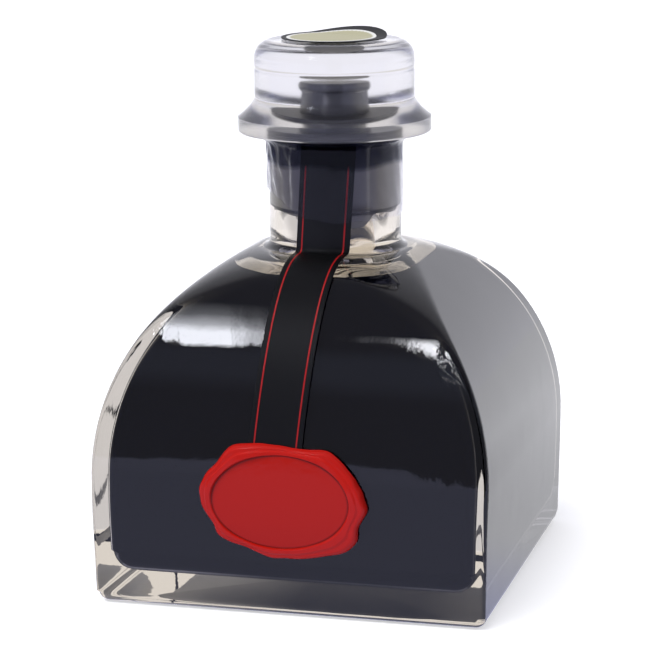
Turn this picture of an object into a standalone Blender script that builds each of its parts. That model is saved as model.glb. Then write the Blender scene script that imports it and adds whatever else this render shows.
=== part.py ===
"""Square glass vinegar bottle with a domed shoulder, a clear-headed stopper, a ribbon strip and a wax seal.

Metres, +Z up. The origin is the centre of the bottle's flat underside, and -Y is the face that carries the seal.
"""
import math

import bpy
import numpy as np

MM = 0.001

# The glass body
HALF_WIDTH = 41.0 * MM              # half the width across two flat faces, at the widest
BASE_TAPER = 0.55 * MM              # how much each face leans in from its widest line down to the base
HEEL_RADIUS = 2.3 * MM              # rounding between the base and the faces
ARRIS_RADIUS = 0.85 * MM            # rounding of the upright edges
ARRIS_FADE_START = 41.0 * MM        # height where the arrises begin to melt into the round neck
ARRIS_FADE_POWER = 6.0
NECK_ROOT = 68.7 * MM               # height where the shoulder arrives at the neck
NECK_RADIUS = 13.75 * MM
NECK_FILLET = 1.7 * MM
MOUTH_HEIGHT = 92.3 * MM
LIP_ROUND = 0.5 * MM

# Each face curves in from a straight wall. The first number is where the curve starts, the second how far
# the wall's direction is carried upwards, the third how far the neck's level direction is carried outwards.
SIDE_FACE = (27.2 * MM, 27.6 * MM, 3.7 * MM)
FRONT_FACE = (18.4 * MM, 17.8 * MM, 16.5 * MM)

# The hollow
WALL = 2.9 * MM
FLOOR_HEIGHT = 6.4 * MM
INNER_HEEL = 4.5 * MM               # rounding between the floor and the walls
INNER_CORNER = 2.2 * MM
INNER_FADE_POWER = 4.0
BORE_RADIUS = 8.2 * MM              # the narrow lower stretch of the neck
BORE_START = 70.0 * MM
STEP_HEIGHT = 75.4 * MM             # the bore widens from here, just under the plug's foot
STEP_LENGTH = 1.0 * MM
MOUTH_BORE = 9.3 * MM

# What the bottle holds
FILL_HEIGHT = 63.8 * MM
GAP = 0.3 * MM                      # left between pieces that touch

# The stopper
HEAD_FOOT = 92.6 * MM
DISC_RADIUS = 20.05 * MM
DISC_TOP = 95.7 * MM
DISC_ROUND = 0.35 * MM
HEAD_RADIUS = 16.6 * MM
COVE_TOP = 99.8 * MM
COVE_PULL = (17.2 * MM, 97.8 * MM)  # the point that draws the cove's curve in
HEAD_TOP = 111.5 * MM
CROWN_ROUND = 3.7 * MM
SOCKET_RADIUS = 5.3 * MM
SOCKET_TOP = 103.5 * MM
PEG_RADIUS = 4.5 * MM
PEG_TOP = 103.2 * MM
BEAD_RADIUS = 4.95 * MM
BEAD_HEIGHT = 1.9 * MM
PLUG_RADIUS = 9.0 * MM
PLUG_FOOT = 76.7 * MM
PLUG_ROUND = 0.6 * MM
PLUG_SHOULDER = 94.0 * MM           # top of the plug's thick part, which reaches into the head

# The round label on the head
LABEL_RADIUS = 10.9 * MM
LABEL_THICKNESS = 0.2 * MM
LABEL_LIFT = 1.2 * MM               # how far its loose edge has come up
LABEL_LIFT_TURN = math.radians(65)  # direction of the loose edge, from +X
LABEL_FOLD = 0.35                   # share of the radius where the lift begins

# The ribbon strip
STRIP_WIDTH = 11.1 * MM
STRIP_THICKNESS = 0.2 * MM
STRIP_TOP = 91.2 * MM
STRIP_FOOT = 31.5 * MM
STRIP_OFFSET_AT_TOP = 2.2 * MM      # sideways place of its middle line at the top
STRIP_LEAN = 0.066                  # sideways drift for each unit of its length

# The wax seal
SEAL_CENTRE = (-0.25 * MM, 24.0 * MM)
SEAL_HALF_SIZE = (17.0 * MM, 11.8 * MM)
SEAL_RIM = 2.4 * MM
SEAL_DISH = 1.4 * MM
SEAL_EDGE = 0.9 * MM
SEAL_DISH_SHARE = 0.80              # share of the half size where the dish meets the rim
SEAL_SLOPE = 0.04                   # half the share over which the dish climbs to the rim
SEAL_EDGE_SHARE = 0.92              # share of the half size where the rim falls off to its edge
STRIP_TUCK = 2.5 * MM               # the seal makes room for the strip from this far below its foot
SEAL_LOBES = (                      # waves round its outline: how many, share of the radius, phase
    (1, 0.0071, -0.83), (2, 0.0415, 1.29), (3, 0.0105, -2.60), (4, 0.0288, -2.97), (5, 0.0104, 2.23),
    (6, 0.0158, 0.0), (7, 0.0216, -1.34), (8, 0.0122, 0.21), (11, 0.0128, 1.05))

# The shrink film round the neck
FILM_FOOT = 75.6 * MM
FILM_TOP = 92.1 * MM
FILM_THICKNESS = 0.25 * MM
FILM_FLARE = 2.6 * MM
FILM_FLARE_HEIGHT = 2.4 * MM
FILM_FLARE_BEND = (0.9 * MM, 0.35)  # below the film's top by this, it has flared by this share
FILM_BRIDGE = (3.2 * MM, 1.4 * MM)  # beyond the strip's edge the film is off the glass, then slopes back to it

# How finely the surfaces are cut
ARC_STEPS = 8                       # facets in each quarter turn of a section
TURN_STEPS = 40
CURVE_STEPS = 400                   # samples of a face's curve
HEEL_TURNS = (0, 30, 60)            # degrees round the heel where a ring lies
FLARE_TURNS = (90, 60, 35, 15)      # degrees down the curve from the bore to the hollow's ceiling
LEAST_FLAT = 0.02 * MM              # kept between two round corners, so that no edge has length zero
RING_SPACE = 0.2 * MM               # least height between the last two rings
STRIP_ROWS, STRIP_COLUMNS = 34, 6


def clear_scene():
    for item in list(bpy.data.objects):
        bpy.data.objects.remove(item, do_unlink=True)


def material(name, colour, roughness, metallic=0.0, transmission=0.0):
    made = bpy.data.materials.new(name)
    made.use_nodes = True
    shader = made.node_tree.nodes["Principled BSDF"]
    shader.inputs["Base Color"].default_value = (*colour, 1.0)
    shader.inputs["Roughness"].default_value = roughness
    shader.inputs["Metallic"].default_value = metallic
    shader.inputs["Transmission Weight"].default_value = transmission
    made.diffuse_color = (*colour, 1.0)
    return made


def add_solid(name, points, faces, surface):
    mesh = bpy.data.meshes.new(name)
    mesh.from_pydata([tuple(p) for p in points], [], [tuple(f) for f in faces])
    mesh.validate()
    mesh.materials.append(surface)
    mesh.shade_smooth()
    mesh.set_sharp_from_angle(angle=math.radians(35))
    made = bpy.data.objects.new(name, mesh)
    bpy.context.collection.objects.link(made)
    return made


def stitched(rings, closed=False):
    """Points and faces of a skin through rings of equal length; it ends in flat caps, or closes on itself."""
    rings = np.asarray(rings)
    count, around = rings.shape[:2]
    points = rings.reshape(-1, 3)
    step = np.arange(around)
    following = (step + 1) % around
    faces = []
    for ring in range(count if closed else count - 1):
        low = ring * around
        high = ((ring + 1) % count) * around
        faces += np.stack([low + step, low + following, high + following, high + step], 1).tolist()
    if not closed:
        faces.append(step[::-1].tolist())
        faces.append((step + (count - 1) * around).tolist())
    return points, faces


def turned(profile, steps=TURN_STEPS):
    """Rings made by turning a list of (radius, height) about the Z axis."""
    angle = np.arange(steps) / steps * 2 * math.pi
    profile = np.asarray(profile)
    radius = profile[:, 0][:, None]
    height = profile[:, 1][:, None] + 0 * angle
    return np.stack([radius * np.cos(angle), radius * np.sin(angle), height], -1)


def arc(centre, radius, start, end, steps):
    """Points of an arc in the (radius, height) plane, from one angle in degrees to another."""
    angle = np.radians(np.linspace(start, end, steps + 1))
    return [(centre[0] + radius * math.cos(a), centre[1] + radius * math.sin(a)) for a in angle]


def face_curve(face, count=CURVE_STEPS):
    """Half width and height along a face: a cubic curve that leaves the wall upright and meets the neck level."""
    start, rise, reach = face
    end_width = NECK_RADIUS + NECK_FILLET
    t = np.linspace(0, 1, count)
    blend = ((1 - t) ** 3, 3 * t * (1 - t) ** 2, 3 * t * t * (1 - t), t ** 3)
    width = (blend[0] + blend[1]) * HALF_WIDTH + blend[2] * (end_width + reach) + blend[3] * end_width
    height = blend[0] * start + blend[1] * (start + rise) + (blend[2] + blend[3]) * NECK_ROOT
    lean = np.clip(np.linspace(0, start, 20)[:-1] / start, 0, 1)
    wall_width = HALF_WIDTH - BASE_TAPER * (1 - lean)
    return np.concatenate([wall_width, width]), np.concatenate([lean * start, height])


def inset(curve, depth):
    """The same curve moved inwards, square to itself."""
    width, height = curve
    along = np.gradient(height)
    across = np.gradient(width)
    length = np.hypot(along, across)
    return width - depth * along / length, height + depth * across / length


def section(height, half_x, half_y, corner):
    """One level ring: a rectangle with round corners, walked anticlockwise from +X."""
    ring = []
    for quarter in range(4):
        sign_x = 1 if quarter in (0, 3) else -1
        sign_y = 1 if quarter in (0, 1) else -1
        angle = (quarter + np.arange(ARC_STEPS + 1) / ARC_STEPS) * math.pi / 2
        x = sign_x * (half_x - corner) + corner * np.cos(angle)
        y = sign_y * (half_y - corner) + corner * np.sin(angle)
        ring.append(np.stack([x, y, np.full(len(angle), height)], -1))
    return np.concatenate(ring)


def fade(height, narrow, corner, power):
    """Corner radius at a height: small on the body, growing until the section is round at the neck's root."""
    share = np.clip((height - ARRIS_FADE_START) / (NECK_ROOT - ARRIS_FADE_START), 0, 1)
    return corner + (narrow - corner) * share ** power


def body_rings(depth, foot, top, heel, corner, power, rows):
    """Rings of the body's form, moved inwards by a depth, from its foot up to a height."""
    side = inset(face_curve(SIDE_FACE), depth)
    front = inset(face_curve(FRONT_FACE), depth)
    curved = side[1][-CURVE_STEPS:]
    picks = np.interp(np.linspace(0, 1, rows), np.linspace(0, 1, CURVE_STEPS), curved)
    heights = picks[(picks > foot + heel) & (picks < top - RING_SPACE)]
    heights = np.concatenate([[foot + heel, FRONT_FACE[0]], heights, [top]])
    rings = []
    for angle in np.radians(HEEL_TURNS):
        pull = heel * (1 - math.sin(angle))
        half_x = np.interp(foot + heel, side[1], side[0]) - pull
        half_y = np.interp(foot + heel, front[1], front[0]) - pull
        level = foot + heel * (1 - math.cos(angle))
        rings.append(section(level, half_x, half_y, corner))
    for height in heights:
        half_x = np.interp(height, side[1], side[0])
        half_y = np.interp(height, front[1], front[0])
        narrow = min(half_x, half_y)
        rings.append(section(height, half_x, half_y, fade(height, narrow, corner, power) - LEAST_FLAT))
    return rings


def round_ring(radius, height):
    return section(height, radius, radius, radius - LEAST_FLAT)


def glass_bottle():
    rings = body_rings(0, 0, NECK_ROOT, HEEL_RADIUS, ARRIS_RADIUS, ARRIS_FADE_POWER, 26)
    fillet = arc((NECK_RADIUS + NECK_FILLET, NECK_ROOT + NECK_FILLET), NECK_FILLET, 270, 180, 4)[1:]
    lip = arc((NECK_RADIUS - LIP_ROUND, MOUTH_HEIGHT - LIP_ROUND), LIP_ROUND, 0, 90, 3)
    mouth = arc((MOUTH_BORE + LIP_ROUND, MOUTH_HEIGHT - LIP_ROUND), LIP_ROUND, 90, 180, 3)
    bore = [(MOUTH_BORE, STEP_HEIGHT + STEP_LENGTH), (BORE_RADIUS, STEP_HEIGHT)]
    shoulder = body_rings(WALL, FLOOR_HEIGHT, NECK_ROOT - WALL, INNER_HEEL, INNER_CORNER, INNER_FADE_POWER, 22)
    ceiling = shoulder[-1][:, 0].max()
    flare = []
    for angle in np.radians(FLARE_TURNS):
        radius = ceiling - (ceiling - BORE_RADIUS) * math.sin(angle)
        flare.append((radius, BORE_START - (BORE_START - NECK_ROOT + WALL) * math.cos(angle)))
    rings += [round_ring(*p) for p in fillet + lip + mouth + bore + flare]
    rings += shoulder[::-1]
    points, faces = stitched(rings)
    return add_solid("glass_bottle", points, faces, material("clear_glass", (0.86, 0.88, 0.84), 0.03, 0, 1))


def vinegar():
    rings = body_rings(WALL + GAP, FLOOR_HEIGHT + GAP, FILL_HEIGHT, INNER_HEEL, INNER_CORNER,
                       INNER_FADE_POWER, 18)
    points, faces = stitched(rings)
    return add_solid("vinegar", points, faces, material("dark_vinegar", (0.012, 0.007, 0.006), 0.08))


def stopper_head():
    cove = []
    for t in np.linspace(0, 1, 6):
        radius = (1 - t) ** 2 * DISC_RADIUS + 2 * t * (1 - t) * COVE_PULL[0] + t * t * HEAD_RADIUS
        height = (1 - t) ** 2 * DISC_TOP + 2 * t * (1 - t) * COVE_PULL[1] + t * t * COVE_TOP
        cove.append((radius, height))
    edge = DISC_RADIUS - DISC_ROUND
    rim = arc((edge, HEAD_FOOT + DISC_ROUND), DISC_ROUND, 270, 360, 2)
    crown = arc((HEAD_RADIUS - CROWN_ROUND, HEAD_TOP - CROWN_ROUND), CROWN_ROUND, 0, 90, 7)
    seat_radius = PLUG_RADIUS + GAP
    seat_top = PLUG_SHOULDER + GAP
    socket = [(SOCKET_RADIUS, SOCKET_TOP), (SOCKET_RADIUS, seat_top), (seat_radius, seat_top), (seat_radius, HEAD_FOOT)]
    profile = socket + rim + cove + crown
    points, faces = stitched(turned(profile))
    return add_solid("stopper_head", points, faces, material("clear_plastic", (0.9, 0.9, 0.93), 0.05, 0, 1))


def stopper_plug():
    foot = arc((PLUG_RADIUS - PLUG_ROUND, PLUG_FOOT + PLUG_ROUND), PLUG_ROUND, 270, 360, 5)
    bead_foot = PEG_TOP - BEAD_HEIGHT
    swell = np.sin(np.linspace(0, math.pi, 6)) * (BEAD_RADIUS - PEG_RADIUS)
    bead = [(PEG_RADIUS + s, h) for s, h in zip(swell, np.linspace(bead_foot, PEG_TOP, 6))]
    profile = foot + [(PLUG_RADIUS, PLUG_SHOULDER), (PEG_RADIUS, PLUG_SHOULDER)] + bead
    points, faces = stitched(turned(profile))
    return add_solid("stopper_plug", points, faces, material("black_stopper", (0.01, 0.01, 0.012), 0.45))


def top_label():
    angle = np.arange(TURN_STEPS) / TURN_STEPS * 2 * math.pi
    shares = np.array([0.25, 0.5, 0.75, 1.0])
    x = LABEL_RADIUS * shares[:, None] * np.cos(angle)
    y = LABEL_RADIUS * shares[:, None] * np.sin(angle)
    ahead = (x * math.cos(LABEL_LIFT_TURN) + y * math.sin(LABEL_LIFT_TURN)) / LABEL_RADIUS
    rise = LABEL_LIFT * np.clip((ahead - LABEL_FOLD) / (1 - LABEL_FOLD), 0, 1) ** 1.5
    under = np.stack([x, y, HEAD_TOP + GAP + rise], -1)
    over = under + np.array((0, 0, LABEL_THICKNESS))
    points, faces = stitched(np.concatenate([under, over[::-1]]))
    return add_solid("top_label", points, faces, material("label_paper", (0.02, 0.02, 0.022), 0.35))


def glass_front(x, height):
    """Distance from the axis plane to the front of the glass, at a sideways place and a height on the body."""
    side = face_curve(SIDE_FACE)
    front = face_curve(FRONT_FACE)
    half_x = np.interp(height, side[1], side[0])
    half_y = np.interp(height, front[1], front[0])
    corner = fade(height, np.minimum(half_x, half_y), ARRIS_RADIUS, ARRIS_FADE_POWER)
    past = np.clip(np.abs(x) - (half_x - corner), 0, corner)
    return half_y - corner + np.sqrt(corner ** 2 - past ** 2)


def strip_path(clearance, rows):
    """Distance out, height, glass height and length from the top of the strip's inner face, row by row."""
    curve_width, curve_height = face_curve(FRONT_FACE)
    fillet = arc((NECK_RADIUS + NECK_FILLET, NECK_ROOT + NECK_FILLET), NECK_FILLET, 270, 180, 8)[1:]
    width = np.concatenate([curve_width, [p[0] for p in fillet], [NECK_RADIUS]])
    height = np.concatenate([curve_height, [p[1] for p in fillet], [STRIP_TOP]])
    keep = height >= STRIP_FOOT
    width, height = width[keep], height[keep]
    along = np.gradient(height)
    across = np.gradient(width)
    length = np.hypot(along, across)
    out = width + clearance * along / length
    up = height - clearance * across / length
    travel = np.concatenate([[0], np.cumsum(np.hypot(np.diff(out), np.diff(up)))])
    at = np.linspace(0, travel[-1], rows)
    return np.interp(at, travel, out), np.interp(at, travel, up), np.interp(at, travel, height), travel[-1] - at


def strip_face(clearance, rows, columns):
    out, up, level, travelled = strip_path(clearance, rows)
    middle = STRIP_OFFSET_AT_TOP - STRIP_LEAN * travelled
    x = middle[:, None] + np.linspace(-0.5, 0.5, columns) * STRIP_WIDTH
    on_body = np.clip(level, 0, NECK_ROOT)[:, None] + 0 * x
    drop = glass_front(0 * x, on_body) - glass_front(x, on_body)
    return np.stack([x, drop - out[:, None], up[:, None] + 0 * x], -1)


def slab(under, over):
    """Points and faces of a thin body between two grids of the same shape."""
    rows, columns = under.shape[:2]
    index = np.arange(rows * columns).reshape(rows, columns)
    edge = np.concatenate([index[0, :-1], index[:-1, -1], index[-1, :0:-1], index[:0:-1, 0]])
    base = rows * columns
    quads = np.stack([index[:-1, :-1], index[:-1, 1:], index[1:, 1:], index[1:, :-1]], -1).reshape(-1, 4)
    following = np.roll(edge, -1)
    wall = np.stack([edge, following, following + base, edge + base], -1)
    points = np.concatenate([under.reshape(-1, 3), over.reshape(-1, 3)])
    faces = (quads[:, ::-1]).tolist() + (quads + base).tolist() + wall.tolist()
    return points, faces


def ribbon_strip():
    under = strip_face(GAP, STRIP_ROWS, STRIP_COLUMNS)
    over = strip_face(GAP + STRIP_THICKNESS, STRIP_ROWS, STRIP_COLUMNS)
    points, faces = slab(under, over)
    return add_solid("ribbon_strip", points, faces, material("strip_paper", (0.008, 0.008, 0.009), 0.25))


def wax_seal():
    angle = np.arange(TURN_STEPS) / TURN_STEPS * 2 * math.pi
    lobes = 1 + sum(size * np.cos(count * angle + phase) for count, size, phase in SEAL_LOBES)
    inside, outside = SEAL_DISH_SHARE - SEAL_SLOPE, SEAL_DISH_SHARE + SEAL_SLOPE
    shares = (0.3, 0.6, inside, outside, SEAL_EDGE_SHARE, 1.0)
    raised = (SEAL_DISH, SEAL_DISH, SEAL_DISH, SEAL_RIM, SEAL_RIM, SEAL_EDGE)
    under, over = [], []
    for share, thickness in zip(shares, raised):
        reach = share * (1 + (lobes - 1) * share ** 2)
        x = SEAL_CENTRE[0] + SEAL_HALF_SIZE[0] * reach * np.cos(angle)
        z = SEAL_CENTRE[1] + SEAL_HALF_SIZE[1] * reach * np.sin(angle)
        back = glass_front(x, z) + GAP
        near_strip = np.clip((z - STRIP_FOOT + STRIP_TUCK) / MM, 0, 1)
        back += near_strip * (STRIP_THICKNESS + GAP)
        under.append(np.stack([x, -back, z], -1))
        over.append(np.stack([x, -glass_front(x, z) - GAP - thickness, z], -1))
    points, faces = stitched(under + over[::-1])
    return add_solid("wax_seal", points, faces, material("red_wax", (0.55, 0.012, 0.015), 0.3))


def neck_film():
    angle = np.arange(TURN_STEPS) / TURN_STEPS * 2 * math.pi
    middle = math.atan2(-NECK_RADIUS, STRIP_OFFSET_AT_TOP) % (2 * math.pi)
    apart = np.abs((angle - middle + math.pi) % (2 * math.pi) - math.pi) * NECK_RADIUS
    off_glass = np.clip((STRIP_WIDTH / 2 + FILM_BRIDGE[0] - apart) / FILM_BRIDGE[1], 0, 1)
    over_strip = off_glass * (STRIP_THICKNESS + GAP)
    straight_top = FILM_TOP - FILM_FLARE_HEIGHT
    heights = (FILM_FOOT, (FILM_FOOT + straight_top) / 2, straight_top, FILM_TOP - FILM_FLARE_BEND[0], FILM_TOP)
    flares = (0, 0, 0, FILM_FLARE_BEND[1] * FILM_FLARE, FILM_FLARE)
    inner, outer = [], []
    for height, flare in zip(heights, flares):
        radius = NECK_RADIUS + GAP + flare + over_strip
        inner.append(np.stack([radius * np.cos(angle), radius * np.sin(angle), height + 0 * angle], -1))
        radius = radius + FILM_THICKNESS
        outer.append(np.stack([radius * np.cos(angle), radius * np.sin(angle), height + 0 * angle], -1))
    points, faces = stitched(np.concatenate([outer, inner[::-1]]), closed=True)
    return add_solid("neck_film", points, faces, material("clear_film", (0.9, 0.9, 0.95), 0.1, 0, 1))


def main():
    clear_scene()
    glass_bottle()
    vinegar()
    stopper_head()
    stopper_plug()
    top_label()
    ribbon_strip()
    wax_seal()
    neck_film()


main()
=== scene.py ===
"""Looks for the square vinegar bottle: thick glass, dark vinegar, clear stopper head, film, ribbon and seal.

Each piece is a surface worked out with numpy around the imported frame, and stands for the frame's plain solid.
Lengths below are in metres, written as a number of millimetres times MM.
"""
import math

import bpy
import numpy as np
from mathutils import Matrix, Vector


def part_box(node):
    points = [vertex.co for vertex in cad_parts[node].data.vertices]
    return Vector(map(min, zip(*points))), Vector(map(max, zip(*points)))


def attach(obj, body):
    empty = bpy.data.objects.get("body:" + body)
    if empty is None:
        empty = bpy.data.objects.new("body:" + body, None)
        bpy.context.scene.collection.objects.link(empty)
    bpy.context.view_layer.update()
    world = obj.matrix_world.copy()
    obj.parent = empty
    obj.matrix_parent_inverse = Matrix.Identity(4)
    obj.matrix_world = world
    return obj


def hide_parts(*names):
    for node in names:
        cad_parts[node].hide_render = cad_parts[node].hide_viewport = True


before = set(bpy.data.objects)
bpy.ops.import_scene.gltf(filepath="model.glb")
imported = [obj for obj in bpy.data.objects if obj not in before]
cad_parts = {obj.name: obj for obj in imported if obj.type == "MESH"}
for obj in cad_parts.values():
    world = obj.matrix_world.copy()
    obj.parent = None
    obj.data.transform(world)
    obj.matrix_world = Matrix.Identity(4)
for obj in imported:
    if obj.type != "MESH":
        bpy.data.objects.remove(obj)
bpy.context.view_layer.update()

bl_info = {
    "name": "Vinegar bottle looks",
    "version": (1, 0, 0),
    "blender": (4, 5, 0),
    "location": "View3D > Sidebar > Bottle",
    "description": "Builds the finished surfaces of a square glass bottle around its CAD frame",
    "category": "Add Mesh",
}

MM = 0.001
BODY = "root"

# The glass body, as in the part's source
HALF_WIDTH = 41.0 * MM
BASE_TAPER = 0.55 * MM
HEEL_RADIUS = 2.3 * MM
ARRIS_RADIUS = 0.85 * MM
ARRIS_FADE_START = 41.0 * MM
ARRIS_FADE_POWER = 6.0
NECK_ROOT = 68.7 * MM
NECK_RADIUS = 13.75 * MM
NECK_FILLET = 1.7 * MM
MOUTH_HEIGHT = 92.3 * MM
LIP_ROUND = 0.5 * MM
FILLET_CENTRE = (NECK_RADIUS + NECK_FILLET, NECK_ROOT + NECK_FILLET)
# A face's upright height, then how far its curve's two handles rise and reach
SIDE_FACE = (27.2 * MM, 27.6 * MM, 3.7 * MM)
FRONT_FACE = (18.4 * MM, 17.8 * MM, 16.5 * MM)
FACE_ROWS = 110
FOOT_SHARES = (0.2, 0.5, 0.8, 0.95)  # rings on the flat foot, as shares of its width
PUSH_UP = 1.0 * MM  # rise of the base's middle above its bearing ring
PUSH_UP_SHARES = (1.0, 0.75, 0.25, 0.0)  # how much of that rise each ring of the foot has

# The hollow
WALL = 2.9 * MM
FLOOR_HEIGHT = 6.4 * MM
INNER_HEEL = 4.5 * MM
INNER_CORNER = 2.2 * MM
INNER_FADE_POWER = 4.0
BORE_RADIUS = 8.2 * MM
BORE_START = 70.0 * MM
STEP_HEIGHT = 76.2 * MM
STEP_LENGTH = 0.8 * MM
MOUTH_BORE = 9.3 * MM
BACK_DRAW = 0.05  # share of the half width that the left wall takes from the hollow at the back
HOLLOW_ROWS = 90
GLASS_IOR = 1.52

# The vinegar
VINEGAR_IOR = 1.36
INTO_WALL = 0.2 * MM  # how far it reaches into the glass, so that no air gap shows
MENISCUS_REACH = 1.2 * MM  # distance from the wall over which the meniscus falls to a third
THIN_REACH = 1.0 * MM  # and over which the brown of the thin edge does
FOOT_CLEARNESS = ((0, 0.36), (0.2, 0.34), (0.45, 0.06), (0.75, 0.06), (1, 0.22))  # from left to right
FOOT_BELOW_HEEL = 0.5 * MM  # the foot's material ends this far below the top of the heel

# The stopper
HEAD_FOOT = 92.6 * MM
DISC_RADIUS = 20.05 * MM
DISC_TOP = 95.7 * MM
DISC_ROUND = 0.5 * MM
HEAD_RADIUS = 16.6 * MM
COVE_TOP = 99.8 * MM
COVE_PULL = (17.2 * MM, 97.8 * MM)
HEAD_TOP = 111.5 * MM
CROWN_ROUND = 3.7 * MM
CROWN_RING = 105.8 * MM  # height of the moulded line under the crown
CROWN_RING_DEPTH = 0.12 * MM
CROWN_RING_HALF = 0.35 * MM
PEG_RADIUS = 4.5 * MM
PEG_TOP = 103.2 * MM
BEAD_RADIUS = 4.95 * MM
BEAD_HEIGHT = 1.9 * MM
SOCKET_SHY = 0.12 * MM  # the socket's wall lies this far inside the peg, as two surfaces in contact
BEAD_SWELL = (0.86, 0.7)  # half turns that the bead's sine runs through, and its power
PLUG_RADIUS = 9.45 * MM  # reaches 0.15 mm into the glass, so that no air gap shows
PLUG_IN_HEAD = 9.3 * MM  # radius of the thick part inside the head
PLUG_SHOULDER = 93.5 * MM  # top of the thick part, which reaches into the head
PLUG_FOOT = 75.9 * MM
PLUG_ROUND = 0.6 * MM
PLUG_LOBE = 2.4 * MM  # how far the longest flap of the foot hangs down
PLUG_LOBE_TURN = math.radians(-48)
PLUG_LOBE_WIDTH = math.radians(19)
PLUG_SOFT = 4.0 * MM  # height over which the foot's unevenness dies out
PLUG_RIPPLE = 0.25 * MM
PLUG_LOW_RADIUS = 8.35 * MM  # the foot's reach below the step, where the bore is narrow
STOPPER_STEPS = 180

# The round label
LABEL_RADIUS = 10.9 * MM
LABEL_THICKNESS = 0.2 * MM
LABEL_GAP = 0.3 * MM
LABEL_LIFT = 1.2 * MM
LABEL_LIFT_TURN = math.radians(65)
LABEL_FOLD = 0.35
FIELD_SHIFT = 0.9 * MM  # how far the printed field sits from the middle, away from the loose edge
FIELD_SHARE = 0.77  # the field's reach as a share of the label's radius
RING_SHARE = 0.85  # the pale ring's reach
LABEL_STEPS = 240
TEETH = 48
TOOTH_DEPTH = 0.06
TOOTH_BLUR = 0.01

# The ribbon strip
STRIP_WIDTH = 11.1 * MM
STRIP_THICKNESS = 0.2 * MM
STRIP_GAP = 0.3 * MM
STRIP_TOP = 91.2 * MM
STRIP_FOOT = 31.5 * MM
STRIP_OFFSET_AT_TOP = 2.2 * MM
STRIP_LEAN = 0.066
STRIP_GRID = (220, 40)  # rows down it and columns across it
STRIP_TUCK = 2.5 * MM  # the seal makes room for the strip from this far below its foot
LINES_START = 3.9 * MM  # the strip's lines begin this far below its top
LINES_FADE = 0.4 * MM

# The wax seal
SEAL_CENTRE = (-0.25 * MM, 24.0 * MM)
SEAL_HALF_SIZE = (17.0 * MM, 11.8 * MM)
SEAL_GAP = 0.3 * MM
SEAL_RIM = 2.4 * MM
SEAL_DISH = 1.4 * MM
SEAL_DISH_CENTRE = (-0.7 * MM, 24.1 * MM)
SEAL_DISH_HALF = (14.0 * MM, 9.2 * MM)
SEAL_STEP = 0.16  # share of the rim's width over which it climbs from the dish
SEAL_CREASE_SHADE = (0.02, 0.035)  # place and half width, as such shares, of the painted dark line of shade round the dish
SEAL_FOLD = (0.42, 0.16)  # where the rim's outer fold begins and how wide it is
SEAL_FOLD_DROP = 0.22 * MM
SEAL_FALL = 0.70  # where the rim begins to fall off to its edge
SEAL_FALL_POWER = 2.2
SEAL_EDGE = 0.12  # share of the rim's height that is left at its edge
SEAL_CREST = 0.82  # mean share of the rim's height, which waves round it
SEAL_CREST_WAVES = ((3, 0.08, 0.5), (7, 0.04, 0.0))
SEAL_LEAST = 0.15 * MM  # least wax over the strip
SEAL_LOBES = (  # waves round its outline: how many, share of the radius, phase
    (1, 0.0071, -0.83), (2, 0.0415, 1.29), (3, 0.0105, -2.60), (4, 0.0288, -2.97), (5, 0.0104, 2.23),
    (6, 0.0158, 0.0), (7, 0.0216, -1.34), (8, 0.0122, 0.21), (11, 0.0128, 1.05),
    (16, 0.004, 2.0), (23, 0.003, 0.7))

# The shrink film
FILM_FOOT = 75.6 * MM
FILM_TOP = 92.1 * MM
FILM_THICKNESS = 0.1 * MM
FILM_GAP = 0.3 * MM
FILM_FLARE = 2.6 * MM
FILM_FLARE_HEIGHT = 2.4 * MM
FILM_FLARE_POWER = 2.2
FILM_SLANT = 5.0 * MM  # how much higher the film's uneven foot ends on the left
FILM_BRIDGE = (3.2 * MM, 1.4 * MM)  # past the strip's edge the film is off the glass, then slopes back to it
FILM_FOOT_RIPPLE = 0.15 * MM
FILM_WRINKLE = 0.16 * MM
FILM_WAVES = ((23, 900, 0), (7, -400, 1))  # wrinkles: how many round it, turn for each metre up, phase
FILM_INWARD = 0.1 * MM  # most that a wrinkle goes inwards
GATHERED_SHADE_FOOT = 86.0 * MM  # the film is gathered from here up, and is given painted shade there
GATHERED_SHADE_BLUR = (0.4 * MM, 1.2 * MM)  # waviness and softness of that line

# The camera, solved from the photograph's outlines; the image is square
CAMERA_TURN = math.radians(14.978)
CAMERA_RISE = math.radians(12.4)
CAMERA_DISTANCE = 565.2 * MM
CAMERA_ROLL = -0.0083
CAMERA_AIM = (-0.33 * MM, 0.0, 49.03 * MM)
CAMERA_LENS = 144.02  # millimetres, on a 36 mm sensor


# The stage: lights laid where the front face mirrors them, each given by its patch of the face
CARD_DISTANCE = 1.2
CARD_STEPS = 40
SOFTBOX_STRENGTH = 21.0
LEFT_LIGHT = {
    "x_range": (-29.5 * MM, -4 * MM), "z_range": (50 * MM, 61 * MM), "soft": 0.06, "tint": (0.90, 0.92, 1.0),
    "foot": ((0, 0.62), (0.05, 0.42), (0.12, 0.31), (0.3, 0.25), (0.68, 0.28), (1, 0.36)),
    "sideways": ((0, 0), (0.05, 0.2), (0.14, 1), (0.6, 1), (0.72, 0.62), (0.9, 0.42), (1, 0)),
    "upwards": ((0, 1), (0.52, 1), (0.64, 0.42), (0.8, 0.1), (1, 0))}
RIGHT_LIGHT = {
    "x_range": (10 * MM, 31.5 * MM), "z_range": (49 * MM, 57 * MM), "soft": 0.16, "tint": (0.93, 0.94, 1.0),
    "foot": ((0, 0.76), (0.4, 0.73), (0.6, 0.66), (0.72, 0.52), (0.85, 0.42), (1, 0.46)),
    "sideways": ((0, 0), (0.1, 0.04), (0.4, 0.16), (0.6, 0.5), (0.74, 1), (0.93, 1), (1, 0)),
    "upwards": ((0.78, 1), (0.92, 0))}
EDGE_X = 36.6 * MM  # foot of the narrow light beside the arris
EDGE_WIDTH = 0.8 * MM
EDGE_Z = (46.5 * MM, 55.0 * MM)
EDGE_LEAN = -0.875  # how far that light moves sideways for each unit of height
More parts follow.
